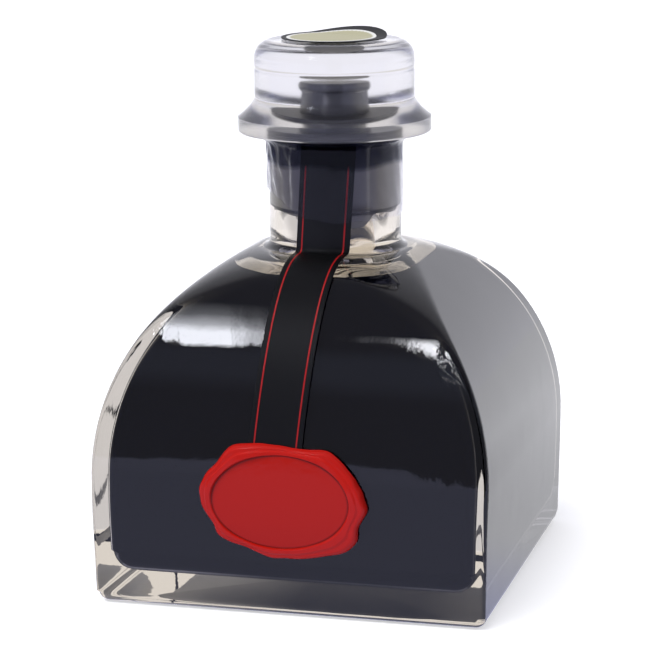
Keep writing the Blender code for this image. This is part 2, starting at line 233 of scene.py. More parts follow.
EDGE_SIDEWAYS = ((0, 0), (0.35, 1), (0.65, 1), (1, 0))
EDGE_UPWARDS = ((0, 0), (0.25, 0.3), (0.8, 1), (1, 0.8))
EDGE_STRENGTH = 18.0
EDGE_TINT = (0.93, 0.94, 1.0)
LOW_BAND = (0.68, 0.70, 0.98, 1.0)  # light that comes from the floor in front of the bottle
FLOOR_BEHIND = (0.95, 0.95, 1.0, 1.0)
FRONT_DIM = (0.25, 0.25, 0.31, 1.0)
FRONT_HAZE = (0.36, 0.38, 0.50, 1.0)
HAZE_HEIGHTS = ((0.36, 0), (0.45, 1), (0.55, 1), (0.62, 0))
FLOOR_TURNS_WHITE = (-0.045, 0.03)  # from in front of the bottle to behind it, in metres
FLOOR_MIRRORED = (0.03, 0.22, 0.95, 1.38)  # between two distances behind it, the floor's two strengths
FLOOR_THROUGH_GLASS = (0.06, 0.17, 0.7, 1.04)  # and the same where the glass looks through at it
SKY_TURNS_BRIGHT = (-0.05, 0.45)  # from the front to the rear, as directions
BACKDROP_HEIGHT = 0.6  # direction upwards at which the backdrop has its upper colour
HORIZON_DEPTH = 0.1  # how far down the front horizon bends where its drop is 1
HORIZON_BLUR = 0.008
HORIZON_PLACES = (-0.34, -0.19)  # sideways directions between which the front horizon bends
HORIZON_DROP = ((0.067, 0.48), (0.34, 0.67), (0.62, 0.82), (0.76, 0.67), (0.847, 0.37), (0.933, 0.02))
BACKDROP_LOW = (1.3, 1.3, 1.4, 1.0)
BACKDROP_HIGH = (0.6, 0.6, 0.66, 1.0)
SEEN_THROUGH = (0.79, 0.765, 0.74, 1.0)  # what the glass shows of the backdrop
WHITE = (1.0, 1.0, 1.0, 1.0)
FLAG = (0.75, 0.14, 0.7)  # distance, half width and height of the black card at the camera's side
FLOOR_HALF = 6.0
FLOOR_GAP = 0.25 * MM  # air under the glass, so that its base mirrors as a real one does
LAMP_PLACE = (-0.5, -0.9, 1.5)
LAMP_SIZE = (1.4, 1.0)
LAMP_POWER = 28

FINE_STEPS = 360  # points round the seal and the film
QUARTER_STEPS = 64
CORNER_CROWDING = 4.0  # how strongly the points of a ring gather at its corners


def linear(colour):
    """An sRGB hex colour as linear red, green and blue: each byte is scaled to 1 and its gamma undone."""
    parts = [int(colour[i:i + 2], 16) / 255 for i in (1, 3, 5)]
    return tuple(p / 12.92 if p <= 0.04045 else ((p + 0.055) / 1.055) ** 2.4 for p in parts)


def node(tree, kind, settings=None, inputs=None, stops=()):
    """Adds one node. Settings are its attributes; each input is a value, or a (node, output) pair to link;
    stops are a colour ramp's places from 0 to 1, each with its value."""
    made = tree.nodes.new(kind)
    for name, value in (settings or {}).items():
        setattr(made, name, value)
    for name, value in (inputs or {}).items():
        if isinstance(value, tuple) and isinstance(value[0], bpy.types.Node):
            tree.links.new(value[0].outputs[value[1]], made.inputs[name])
        else:
            made.inputs[name].default_value = value
    while stops and len(made.color_ramp.elements) < len(stops):
        made.color_ramp.elements.new(1.0)
    for index, (place, value) in enumerate(stops):
        made.color_ramp.elements[index].position = place
        made.color_ramp.elements[index].color = (value, value, value, 1)
    return made


def new_material(name, values):
    """A Principled material with the given socket values; returns it, its node tree and its shader."""
    made = bpy.data.materials.new(name)
    made.use_nodes = True
    shader = made.node_tree.nodes["Principled BSDF"]
    for socket, value in values.items():
        shader.inputs[socket].default_value = value
    return made, made.node_tree, shader


def rgba(colour):
    """A colour with full alpha, as the sockets want it."""
    return (*colour, 1.0)


def paint(tree, shader, colour):
    """Links a (node, output) pair to a shader's colour."""
    tree.links.new(colour[0].outputs[colour[1]], shader.inputs["Base Color"])


def axes(tree, kind):
    """The X, Y and Z of a kind of coordinates, such as Object, as (node, output) pairs."""
    place = node(tree, "ShaderNodeTexCoord")
    split = node(tree, "ShaderNodeSeparateXYZ", None, {"Vector": (place, kind)})
    return [(split, axis) for axis in "XYZ"]


def toned(tree, name, first, second):
    """Two colours mixed by a piece's own named attribute, as a (node, output) pair."""
    share = node(tree, "ShaderNodeAttribute", {"attribute_name": name})
    both = node(tree, "ShaderNodeMix", {"data_type": "RGBA"}, {
        "Factor": (share, "Fac"), "A": first, "B": second})
    return both, "Result"


def show_mix(tree, share, first, second):
    """Makes a mix of two shaders the material's surface."""
    both = node(tree, "ShaderNodeMixShader", None, {"Fac": share, 1: first, 2: second})
    tree.links.new(both.outputs["Shader"], tree.nodes["Material Output"].inputs["Surface"])


def mirror_over(tree, shader, share, roughness):
    """Lays a white mirror over a shader by a share, and makes both the material's surface."""
    mirror = node(tree, "ShaderNodeBsdfGlossy", None, {"Color": WHITE, "Roughness": roughness})
    show_mix(tree, share, (shader, "BSDF"), (mirror, "BSDF"))


def add_bump(tree, shader, size, depth, detail=2.0, below=None):
    """Noise relief on Object coordinates, over another relief if one is given: size is its grain in
    metres and depth its height in metres."""
    place = node(tree, "ShaderNodeTexCoord")
    grain = node(tree, "ShaderNodeTexNoise", None,
                 {"Vector": (place, "Object"), "Scale": 1 / size, "Detail": detail, "Roughness": 0.5})
    relief = node(tree, "ShaderNodeBump", None,
                  {"Strength": 1.0, "Distance": depth, "Height": (grain, "Fac")})
    if below:
        tree.links.new(below.outputs["Normal"], relief.inputs["Normal"])
    tree.links.new(relief.outputs["Normal"], shader.inputs["Normal"])
    return relief


# Shapes

def smooth(share):
    """The smooth step 3 s^2 - 2 s^3 of shares from 0 to 1."""
    return share * share * (3 - 2 * share)


def even_turns(count):
    """Evenly spaced turns round the Z axis, in radians."""
    return np.arange(count) / count * 2 * math.pi


def turned_from(turns, middle):
    """Signed angle from a direction to each turn, from minus to plus half a turn."""
    return (turns - middle + math.pi) % (2 * math.pi) - math.pi


def round_points(radius, turns, height):
    """Points at a radius, a turn and a height."""
    return np.stack([radius * np.cos(turns), radius * np.sin(turns), height + 0 * turns], -1)


def ring_turns():
    """Turns round a ring. In each quarter they gather at the corner by a hyperbolic sine."""
    step = np.linspace(-1, 1, QUARTER_STEPS + 1)[:-1]
    crowded = np.sinh(CORNER_CROWDING * step) / math.sinh(CORNER_CROWDING)
    quarter = (1 + crowded) * math.pi / 4
    return np.concatenate([quarter + k * math.pi / 2 for k in range(4)])


TURNS = ring_turns()


def rounded(half_x, half_y, corner, height):
    """Level rings of a rectangle with round corners. A point is where a ray from the middle, stretched to
    the rectangle's proportions, meets a flat side, or else the circle of the corner."""
    columns = (np.atleast_1d(a).astype(float)[:, None] for a in (half_x, half_y, corner, height))
    half_x, half_y, corner, height = columns
    ray = np.stack([half_x * np.cos(TURNS), half_y * np.sin(TURNS)], -1)
    ray /= np.linalg.norm(ray, axis=-1, keepdims=True)
    right, ahead = np.abs(ray[..., 0]), np.abs(ray[..., 1])
    centre_x, centre_y = half_x - corner, half_y - corner
    along = right * centre_x + ahead * centre_y
    reach = along + np.sqrt(np.maximum(along ** 2 - centre_x ** 2 - centre_y ** 2 + corner ** 2, 0))
    to_side = half_x / np.maximum(right, 1e-9)
    to_front = half_y / np.maximum(ahead, 1e-9)
    reach = np.where(to_front * right <= centre_x, to_front, reach)
    reach = np.where(to_side * ahead <= centre_y, to_side, reach)
    flat = ray * reach[..., None]
    return np.concatenate([flat, (height + 0 * TURNS)[..., None]], -1)


def face_curve(face, count=600):
    """Half width and height along a face: an upright wall, then a cubic Bezier curve that ends level at
    the neck."""
    start, rise, reach = face
    end_width = NECK_RADIUS + NECK_FILLET
    t = np.linspace(0, 1, count)
    blend = ((1 - t) ** 3, 3 * t * (1 - t) ** 2, 3 * t * t * (1 - t), t ** 3)
    width = (blend[0] + blend[1]) * HALF_WIDTH + blend[2] * (end_width + reach) + blend[3] * end_width
    height = blend[0] * start + blend[1] * (start + rise) + (blend[2] + blend[3]) * NECK_ROOT
    share = np.linspace(0, 1, 60)[:-1]
    wall = HALF_WIDTH - BASE_TAPER * (1 - share)
    return np.concatenate([wall, width]), np.concatenate([share * start, height])


def inset(curve, depth):
    """The same curve moved inwards by a depth, square to itself."""
    width, height = curve
    along, across = np.gradient(height), np.gradient(width)
    length = np.hypot(along, across)
    return width - depth * along / length, height + depth * across / length


def fade(height, narrow, corner, power):
    """Corner radius at a height: small on the body, growing by a power until the section is round at the
    neck."""
    share = np.clip((height - ARRIS_FADE_START) / (NECK_ROOT - ARRIS_FADE_START), 0, 1)
    return corner + (narrow - corner) * share ** power


def body_rings(depth, foot, top, heel, corner, power, rows):
    """Rings of the body's form moved inwards by a depth: a flat foot, a quarter-round heel, then the
    faces."""
    side, front = inset(face_curve(SIDE_FACE), depth), inset(face_curve(FRONT_FACE), depth)
    shares = np.array(FOOT_SHARES)
    angle = np.radians(np.linspace(0, 90, 11))[:-1]
    pull = heel * (1 - np.sin(angle))
    wide, deep = (np.interp(foot + heel, c[1], c[0]) for c in (side, front))
    heel_rings = rounded(wide - pull, deep - pull, np.maximum(corner, heel - pull),
                         foot + heel * (1 - np.cos(angle)))
    flat_rings = heel_rings[:1] * np.stack([shares, shares, 0 * shares + 1], -1)[:, None]
    upper = front[1][front[1] > foot + heel]
    picks = np.interp(np.linspace(0, 1, rows), np.linspace(0, 1, len(upper)), upper)
    height = np.append(picks[(picks > foot + heel) & (picks < top - 0.01 * MM)], top)
    height = np.insert(height, 0, foot + heel)
    half_x, half_y = np.interp(height, side[1], side[0]), np.interp(height, front[1], front[0])
    wall_rings = rounded(half_x, half_y, fade(height, np.minimum(half_x, half_y), corner, power), height)
    return np.concatenate([flat_rings, heel_rings, wall_rings])


def drawn_in(rings):
    """The hollow's rings with the left wall thicker towards the back: there x shrinks by a share that
    grows evenly from the front wall to the back wall, and less and less up the dome."""
    share = np.clip((rings[..., 1] + HALF_WIDTH) / (2 * HALF_WIDTH), 0, 1)
    high = np.clip((rings[..., 2] - ARRIS_FADE_START) / (NECK_ROOT - WALL - ARRIS_FADE_START), 0, 1)
    moved = rings.copy()
    moved[..., 0] *= 1 - BACK_DRAW * share * (1 - high) * (rings[..., 0] < 0)
    return moved


def hollow_rings(depth, foot, top):
    """Rings of the hollow's form, at a depth from the outside and between two heights."""
    return drawn_in(body_rings(depth, foot, top, INNER_HEEL, INNER_CORNER, INNER_FADE_POWER, HOLLOW_ROWS))


def turned_rings(profile, turns=TURNS):
    """Rings made by turning a list of (radius, height) about the Z axis."""
    profile = np.asarray(profile, float)
    return round_points(profile[:, :1], turns, profile[:, 1:])


def arc(centre, radius, start, end, steps):
    """Points of an arc in the (radius, height) plane, from one angle in degrees to another."""
    angle = np.radians(np.linspace(start, end, steps + 1))
    return np.stack([centre[0] + radius * np.cos(angle), centre[1] + radius * np.sin(angle)], -1).tolist()


def add_to_scene(name, data):
    """A new object in the scene."""
    made = bpy.data.objects.new(name, data)
    bpy.context.scene.collection.objects.link(made)
    return made


def add_piece(name, points, faces, surfaces, surface_of_face=None, sharp=None):
    """Puts points and faces in a mesh at the origin, smooth, with its materials. Edges sharper than the
    given angle in degrees stay sharp."""
    mesh = bpy.data.meshes.new(name)
    mesh.from_pydata(points.tolist(), [], faces)
    for surface in surfaces:
        mesh.materials.append(surface)
    if surface_of_face is not None:
        mesh.polygons.foreach_set("material_index", surface_of_face)
    mesh.shade_smooth()
    if sharp is not None:
        mesh.set_sharp_from_angle(angle=math.radians(sharp))
    return add_to_scene(name, mesh)


def skin(rings, loop=False):
    """Points and faces of a skin through rings; both ends close in a pole, or the last ring joins the
    first."""
    count, around = rings.shape[:2]
    points = rings.reshape(-1, 3)
    step = np.arange(around)
    following = np.roll(step, -1)
    low = np.arange(count if loop else count - 1)[:, None] * around
    high = (low + around) % (count * around)
    faces = np.stack([low + step, low + following, high + following, high + step], -1).reshape(-1, 4).tolist()
    if not loop:
        poles = np.stack([rings[0].mean(0), rings[-1].mean(0)])
        first, last = len(points), len(points) + 1
        points = np.concatenate([points, poles])
        top = (count - 1) * around
        faces += np.stack([following, step, 0 * step + first], -1).tolist()
        faces += np.stack([top + step, top + following, 0 * step + last], -1).tolist()
    return points, faces


def grid_faces(rows, columns):
    """The numbers of a grid's points, and its faces."""
    index = np.arange(rows * columns).reshape(rows, columns)
    corners = [index[:-1, :-1], index[:-1, 1:], index[1:, 1:], index[1:, :-1]]
    return index, np.stack(corners, -1).reshape(-1, 4)


def slab(under, over):
    """Points and faces of a thin body between two grids of the same shape, the second one outermost."""
    index, quads = grid_faces(*under.shape[:2])
    edge = np.concatenate([index[0, :-1], index[:-1, -1], index[-1, :0:-1], index[:0:-1, 0]])
    base = index.size
    wall = np.stack([edge, np.roll(edge, -1), np.roll(edge, -1) + base, edge + base], -1)
    points = np.concatenate([under.reshape(-1, 3), over.reshape(-1, 3)])
    return points, quads[:, ::-1].tolist() + (quads + base).tolist() + wall.tolist()


def give(made, name, values):
    """Writes one number for each point of a piece as a named attribute, for its material to read."""
    column = made.data.attributes.new(name, "FLOAT", "POINT").data
    column.foreach_set("value", np.asarray(values, np.float32).ravel())


def stand_for(made, cad_node):
    """Makes a piece ride on the body and take the place of a solid."""
    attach(made, BODY)
    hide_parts(cad_node)


def glass_front(x, height):
    """Distance from the axis plane to the front of the glass, at a sideways place and a height on the
    body."""
    side, front = face_curve(SIDE_FACE), face_curve(FRONT_FACE)
    half_x, half_y = np.interp(height, side[1], side[0]), np.interp(height, front[1], front[0])
    corner = fade(height, np.minimum(half_x, half_y), ARRIS_RADIUS, ARRIS_FADE_POWER)
    past = np.clip(np.abs(x) - (half_x - corner), 0, corner)
    return half_y - corner + np.sqrt(corner ** 2 - past ** 2)


def strip_path(clearance, rows):
    """Distance out, height, glass height and length from the top of the strip's inner face, row by row:
    the front face's curve, the neck's fillet and the neck, moved out by a clearance square to
    themselves."""
    curve_width, curve_height = face_curve(FRONT_FACE)
    fillet = np.array(arc(FILLET_CENTRE, NECK_FILLET, 270, 180, 24)[1:])
    neck = np.linspace(FILLET_CENTRE[1], STRIP_TOP, 40)[1:]
    width = np.concatenate([curve_width, fillet[:, 0], NECK_RADIUS + 0 * neck])
    height = np.concatenate([curve_height, fillet[:, 1], neck])
    width, height = width[height >= STRIP_FOOT], height[height >= STRIP_FOOT]
    out, up = inset((width, height), -clearance)
    travel = np.concatenate([[0], np.cumsum(np.hypot(np.diff(out), np.diff(up)))])
    at = np.linspace(0, travel[-1], rows)
    out, up, height = (np.interp(at, travel, values) for values in (out, up, height))
    return out, up, height, travel[-1] - at


def strip_face(clearance, rows, columns):
    """The strip's surface at a clearance from the glass: rows down the path, leaning sideways, bent to
    the glass."""
    out, up, level, travelled = strip_path(clearance, rows)
    middle = STRIP_OFFSET_AT_TOP - STRIP_LEAN * travelled
    across = np.linspace(-0.5, 0.5, columns) * STRIP_WIDTH
    x = middle[:, None] + across
    on_body = np.clip(level, 0, NECK_ROOT)[:, None] + 0 * x
    drop = glass_front(0 * x, on_body) - glass_front(x, on_body)
    grid = np.stack([x, drop - out[:, None], up[:, None] + 0 * x], -1)
    return grid, across + 0 * x, travelled[:, None] + 0 * x


# Materials

def blown_glass(tint):
    """Soda-lime glass, pressed and fire polished: IOR 1.52, clear, with a faint slow waviness in its
    skin."""
    made, tree, shader = new_material("clear_soda_glass", {
        "Base Color": rgba(tint), "Roughness": 0.0, "IOR": GLASS_IOR, "Transmission Weight": 1.0})
    waves = add_bump(tree, shader, 12 * MM, 0.055 * MM)
    add_bump(tree, shader, 0.7 * MM, 0.0022 * MM, 1.0, waves)
    return made


def dark_liquid(name, colour):
    """A liquid that gives back almost no light, and the share by which its face under glass mirrors."""
    made, tree, shader = new_material(name, {
        "Base Color": rgba(colour), "Roughness": 0.5, "Specular IOR Level": 0.0})
    angle = node(tree, "ShaderNodeFresnel", None, {"IOR": VINEGAR_IOR / GLASS_IOR})
    return made, tree, shader, (angle, "Fac")


def vinegar_wall(colour):
    """Aged dark vinegar against glass: almost no light comes back from inside it. Its index of 1.36 under
    glass of 1.52 leaves hardly any gloss square on, and a full mirror at low angles, which carries light
    along the wall."""
    made, tree, shader, angle = dark_liquid("dark_vinegar_in_glass", colour)
    mirror_over(tree, shader, angle, 0.0)
    return made


def vinegar_foot(colour):
    """The same vinegar over the uneven glass of the floor, where only a blurred, weaker mirror forms. It
    is clearest at the left and has nearly gone in the middle."""
    made, tree, shader, angle = dark_liquid("dark_vinegar_on_floor", colour)
    sideways = node(tree, "ShaderNodeMapRange", None, {
        "Value": axes(tree, "Object")[0], "From Min": -HALF_WIDTH, "From Max": HALF_WIDTH})
    clear = node(tree, "ShaderNodeValToRGB", None, {"Fac": (sideways, "Result")}, FOOT_CLEARNESS)
    share = node(tree, "ShaderNodeMath", {"operation": "MULTIPLY"}, {0: angle, 1: (clear, "Color")})
    mirror_over(tree, shader, (share, "Value"), 0.35)
    return made


def vinegar_top(colour, thin_colour):
    """The open surface of the vinegar: a wet mirror at low angles, brown where it thins against the
    wall."""
    made, tree, shader = new_material("vinegar_surface", {"Roughness": 0.03, "IOR": 1.35})
    paint(tree, shader, toned(tree, "thinness", rgba(colour), rgba(thin_colour)))
    return made


def clear_plastic(tint):
    """Moulded clear plastic: IOR 1.5, slightly hazy, with slow flow waves from its mould."""
    made, tree, shader = new_material("moulded_clear_plastic", {
        "Base Color": rgba(tint), "Roughness": 0.14, "IOR": 1.5, "Transmission Weight": 1.0})
    add_bump(tree, shader, 7 * MM, 0.03 * MM)
    return made


def black_rubber(colour):
    """Moulded black elastomer with a fine pitted skin. Its high index stands for the strong sheen it
    shows."""
    made, tree, shader = new_material("moulded_black_elastomer", {
        "Base Color": rgba(colour), "Roughness": 0.35, "IOR": 2.3})
    add_bump(tree, shader, 0.8 * MM, 0.04 * MM, 3.0)
    return made


def ribbon_paper(colour, line_colour, line_place, line_width):
    """Gloss-coated black paper with one thin red line near each long edge, drawn on the strip's own
    measure."""
    made, tree, shader = new_material("gloss_coated_black_paper", {"Roughness": 0.42, "IOR": 1.35})
    across = node(tree, "ShaderNodeAttribute", {"attribute_name": "across"})
    from_middle = node(tree, "ShaderNodeMath", {"operation": "ABSOLUTE"}, {0: (across, "Fac")})
    beyond = node(tree, "ShaderNodeMath", {"operation": "SUBTRACT"}, {
        0: (from_middle, "Value"), 1: line_place})
    apart = node(tree, "ShaderNodeMath", {"operation": "ABSOLUTE"}, {0: (beyond, "Value")})
    on_line = node(tree, "ShaderNodeMapRange", {"interpolation_type": "SMOOTHSTEP"}, {
        "Value": (apart, "Value"), "From Min": line_width * 0.35, "From Max": line_width * 0.7,
        "To Min": 1.0, "To Max": 0.0})
    drawn = node(tree, "ShaderNodeAttribute", {"attribute_name": "drawn"})
    shown = node(tree, "ShaderNodeMath", {"operation": "MULTIPLY"}, {
        0: (on_line, "Result"), 1: (drawn, "Fac")})
    tone = node(tree, "ShaderNodeMix", {"data_type": "RGBA"}, {
        "Factor": (shown, "Value"), "A": rgba(colour), "B": rgba(line_colour)})
    paint(tree, shader, (tone, "Result"))
    add_bump(tree, shader, 3 * MM, 0.02 * MM)
    return made


def sealing_wax(colour, recess_shade_colour):
    """Stamped sealing wax, cooled glossy: saturated red, a little light inside, with painted shade that darkens
    its recess and a painted dark line of shade round the dish's edge."""
    made, tree, shader = new_material("stamped_sealing_wax", {
        "Roughness": 0.12, "IOR": 1.42, "Subsurface Weight": 0.06, "Subsurface Scale": 1.0 * MM,
        "Subsurface Radius": (1.0, 0.2, 0.1), "Specular IOR Level": 0.3})
    # the recess's darker tone is painted shade
    tone = toned(tree, "depth", rgba(colour), rgba(recess_shade_colour))
    # a painted dark line of shade round the dish's edge
    painted_crease_shade = rgba([channel * 0.35 for channel in recess_shade_colour])
    paint(tree, shader, toned(tree, "crease", tone, painted_crease_shade))
    add_bump(tree, shader, 2.2 * MM, 0.06 * MM, 3.0)
    return made


def shrink_film(tint, shade_tint):
    """Thin shrunk film of clear polyolefin: glossy and bluish, with painted shade and a painted dark reflection
    where it is gathered under the head. Its low index bends light as little as a thin film does."""
    made, tree, shader = new_material("clear_shrunk_film", {
        "Roughness": 0.04, "IOR": 1.22, "Transmission Weight": 1.0})
    paint(tree, shader, toned(tree, "gathered", rgba(tint), rgba(shade_tint)))
    add_bump(tree, shader, 1.5 * MM, 0.03 * MM, 3.0)
    return made


def label_face(colour, ring_colour, field_colour):
    """Printed round paper: a dark border, a pale ring and a plain pale field with a toothed edge."""
    made, tree, shader = new_material("gloss_printed_paper", {"Roughness": 0.5, "IOR": 1.3})
    radius = node(tree, "ShaderNodeAttribute", {"attribute_name": "radius"})
    ring = node(tree, "ShaderNodeValToRGB", None, {"Fac": (radius, "Fac")})
    ring.color_ramp.interpolation = "CONSTANT"
    stops = ring.color_ramp.elements
    stops[0].color = rgba(ring_colour)
    stops[1].position = RING_SHARE
    stops[1].color = rgba(colour)
    paint(tree, shader, toned(tree, "teeth", (ring, "Color"), rgba(field_colour)))
    return made


# What a user may change

def length(name, description, default, least, most):
    """A length that a user may change."""
    return bpy.props.FloatProperty(name=name, description=description, default=default, min=least, max=most,
                                   unit="LENGTH", subtype="DISTANCE")


def colour_choice(name, description, default):
    """A colour that a user may change, given as an sRGB hex colour."""
    return bpy.props.FloatVectorProperty(name=name, description=description, default=linear(default),
                                         min=0, max=1, subtype="COLOR")


class BottleSizes(bpy.types.PropertyGroup):
    """The bottle's lengths that a user may change"""
    fill_height: length("Fill height", "Height of the vinegar's level above the base",
                        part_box("vinegar")[1].z, 20 * MM, 64 * MM)
    meniscus: length("Meniscus", "How far the vinegar climbs the glass at its edge", 0.9 * MM, 0, 2 * MM)
    line_place: length("Line place", "Distance of each red line from the strip's middle",
                       4.35 * MM, 1 * MM, 5 * MM)
    line_width: length("Line width", "Width of each red line on the strip", 0.28 * MM, 0.1 * MM, 2 * MM)


class BottleColours(bpy.types.PropertyGroup):
    """The bottle's colours that a user may change"""
    glass: colour_choice("Glass", "Tint of the glass", "#f6efe4")
    # near-black as the vinegar is; its blue cast is painted reflection, standing in for the bluish light seen
    # on the bottle's dark front
    vinegar: colour_choice("Vinegar", "Colour of the vinegar", "#0a0c19")
    vinegar_thin: colour_choice("Thin vinegar", "Colour of the vinegar at its thin edge", "#5a3420")
    plastic: colour_choice("Plastic", "Tint of the stopper head", "#f4f3f6")
    rubber: colour_choice("Plug", "Colour of the plug", "#26262b")
    paper: colour_choice("Paper", "Colour of the strip and the label's border", "#0a0a0b")
    line: colour_choice("Lines", "Colour of the strip's lines", "#a41a1a")
    wax: colour_choice("Wax", "Colour of the seal", "#bd1b13")
    # painted shade: the darker red of the seal's recess
    wax_recess_shade: colour_choice("Deep wax", "Colour of the seal in its recess", "#b1190f")
    label_ring: colour_choice("Label ring", "Colour of the round label's pale ring", "#e8e8e2")
    label_field: colour_choice("Label field", "Colour of the round label's field", "#b4b08e")
    film: colour_choice("Film", "Tint of the shrink film", "#f4f4fa")
    # painted shade and painted dark reflection: the darker bluish tint of the film gathered under the head
    film_painted_shade: colour_choice("Gathered film", "Tint of the film gathered under the head", "#7c8098")
    floor: colour_choice("Floor", "Colour of the floor", "#f6f6f6")


# The pieces

class BOTTLE_OT_glass(bpy.types.Operator):
    """Shape the thick square glass with its shoulder, neck and hollow"""
    bl_idname = "bottle.glass"
    bl_label = "Glass"

    def execute(self, context):
        outer = body_rings(0, 0, NECK_ROOT, HEEL_RADIUS, ARRIS_RADIUS, ARRIS_FADE_POWER, FACE_ROWS)
        outer[:len(FOOT_SHARES), :, 2] += PUSH_UP * np.array(PUSH_UP_SHARES)[:, None]
        fillet = arc(FILLET_CENTRE, NECK_FILLET, 270, 180, 12)[1:]
        neck_heights = np.linspace(FILLET_CENTRE[1], MOUTH_HEIGHT - LIP_ROUND, 12)[1:-1]
        neck = [(NECK_RADIUS, z) for z in neck_heights]
        lip = arc((NECK_RADIUS - LIP_ROUND, MOUTH_HEIGHT - LIP_ROUND), LIP_ROUND, 0, 90, 6)
        mouth = arc((MOUTH_BORE + LIP_ROUND, MOUTH_HEIGHT - LIP_ROUND), LIP_ROUND, 90, 180, 6)
        drop = np.linspace(0, 1, 9)
        step = np.stack([MOUTH_BORE + (BORE_RADIUS - MOUTH_BORE) * smooth(drop),
                         STEP_HEIGHT + STEP_LENGTH * (1 - drop)], -1).tolist()
        inner = hollow_rings(WALL, FLOOR_HEIGHT, NECK_ROOT - WALL)
        ceiling = inner[-1][:, 0].max()
        angle = np.radians(np.linspace(90, 6, 15))
        flare = np.stack([ceiling - (ceiling - BORE_RADIUS) * np.sin(angle),
                          BORE_START - (BORE_START - NECK_ROOT + WALL) * np.cos(angle)], -1).tolist()
        rings = np.concatenate([outer, turned_rings(fillet + neck + lip + mouth + step + flare), inner[::-1]])
        made = add_piece("glass_body", *skin(rings), [blown_glass(context.scene.bottle_colours.glass)])
        stand_for(made, "glass_bottle")
        return {"FINISHED"}


class BOTTLE_OT_vinegar(bpy.types.Operator):
    """Fill the hollow with vinegar up to its level, with a meniscus at the glass"""
    bl_idname = "bottle.vinegar"
    bl_label = "Vinegar"

    def execute(self, context):
        sizes, colours = context.scene.bottle_sizes, context.scene.bottle_colours
        rings = hollow_rings(WALL - INTO_WALL, FLOOR_HEIGHT - INTO_WALL, sizes.fill_height + sizes.meniscus)
        rim = rings[-1]
        shrink = np.concatenate([np.linspace(0.01, 0.2, 16), np.linspace(0.24, 0.96, 12)])
        top = rim[None] * np.stack([1 - shrink, 1 - shrink, 0 * shrink + 1], -1)[:, None]
        depth = shrink[:, None] * np.linalg.norm(rim[:, :2], axis=1)
        top[..., 2] = sizes.fill_height + sizes.meniscus * np.exp(-depth / MENISCUS_REACH)
        points, faces = skin(np.concatenate([rings, top]))
        around = len(TURNS)
        on_wall, on_top, on_foot = 0, 1, 2
        surface_of_face = np.full(len(faces), on_top)
        surface_of_face[:(len(rings) - 1) * around] = on_wall
        foot_rings = (rings[:, 0, 2] < FLOOR_HEIGHT + INNER_HEEL - FOOT_BELOW_HEEL).sum()
        surface_of_face[:foot_rings * around] = on_foot
        lower_pole = (len(rings) + len(top) - 1) * around
        surface_of_face[lower_pole:lower_pole + around] = on_foot
        surfaces = [vinegar_wall(colours.vinegar), vinegar_top(colours.vinegar, colours.vinegar_thin),
                    vinegar_foot(colours.vinegar)]
        made = add_piece("vinegar_fill", points, faces, surfaces, surface_of_face)
        thinness = np.zeros(len(points))
        start = len(rings) * around
        thinness[start - around:start] = 1
        thinness[start:start + len(top) * around] = np.exp(-depth / THIN_REACH).ravel()
        give(made, "thinness", thinness)
        stand_for(made, "vinegar")
        return {"FINISHED"}


def peg_bead():
    """The (radius, height) points of the bead that ends the peg: its swell is a power of a sine."""
    half_turns, power = BEAD_SWELL
    swell = np.sin(np.linspace(0, math.pi * half_turns, 14)) ** power * (BEAD_RADIUS - PEG_RADIUS)
    return np.stack([PEG_RADIUS + swell, np.linspace(PEG_TOP - BEAD_HEIGHT, PEG_TOP, 14)], -1)


def head_profile():
    """The (radius, height) points of the head: socket, disc, cove, wall and crown. The cove is a
    quadratic Bezier curve, and the wall has a moulded line with a Gaussian section."""
    ledge = PLUG_SHOULDER - SOCKET_SHY
    inner_top = [(s * PEG_RADIUS, PEG_TOP - SOCKET_SHY) for s in (0.3, 0.7, 0.9)]
    socket = (peg_bead()[::-1] - SOCKET_SHY).tolist() + [(PEG_RADIUS - SOCKET_SHY, ledge)]
    socket += [(PEG_RADIUS + (PLUG_IN_HEAD - PEG_RADIUS) * s, ledge) for s in (0.1, 0.5, 0.9)]
    socket += [(PLUG_IN_HEAD - SOCKET_SHY, ledge), (PLUG_IN_HEAD - SOCKET_SHY, HEAD_FOOT)]
    rim = arc((DISC_RADIUS - DISC_ROUND, HEAD_FOOT + DISC_ROUND), DISC_ROUND, 270, 360, 6)
    t = np.linspace(0, 1, 24)
    cove = np.stack([(1 - t) ** 2 * DISC_RADIUS + 2 * t * (1 - t) * COVE_PULL[0] + t * t * HEAD_RADIUS,
                     (1 - t) ** 2 * DISC_TOP + 2 * t * (1 - t) * COVE_PULL[1] + t * t * COVE_TOP], -1)
    wall_height = np.linspace(COVE_TOP, HEAD_TOP - CROWN_ROUND, 40)[1:-1]
    groove = CROWN_RING_DEPTH * np.exp(-((wall_height - CROWN_RING) / CROWN_RING_HALF) ** 2)
    wall = np.stack([HEAD_RADIUS - groove, wall_height], -1)
    crown = arc((HEAD_RADIUS - CROWN_ROUND, HEAD_TOP - CROWN_ROUND), CROWN_ROUND, 0, 90, 14)
    flat = [(HEAD_RADIUS * s, HEAD_TOP) for s in (0.7, 0.4)]
    return inner_top + socket + rim + cove.tolist() + wall.tolist() + crown + flat


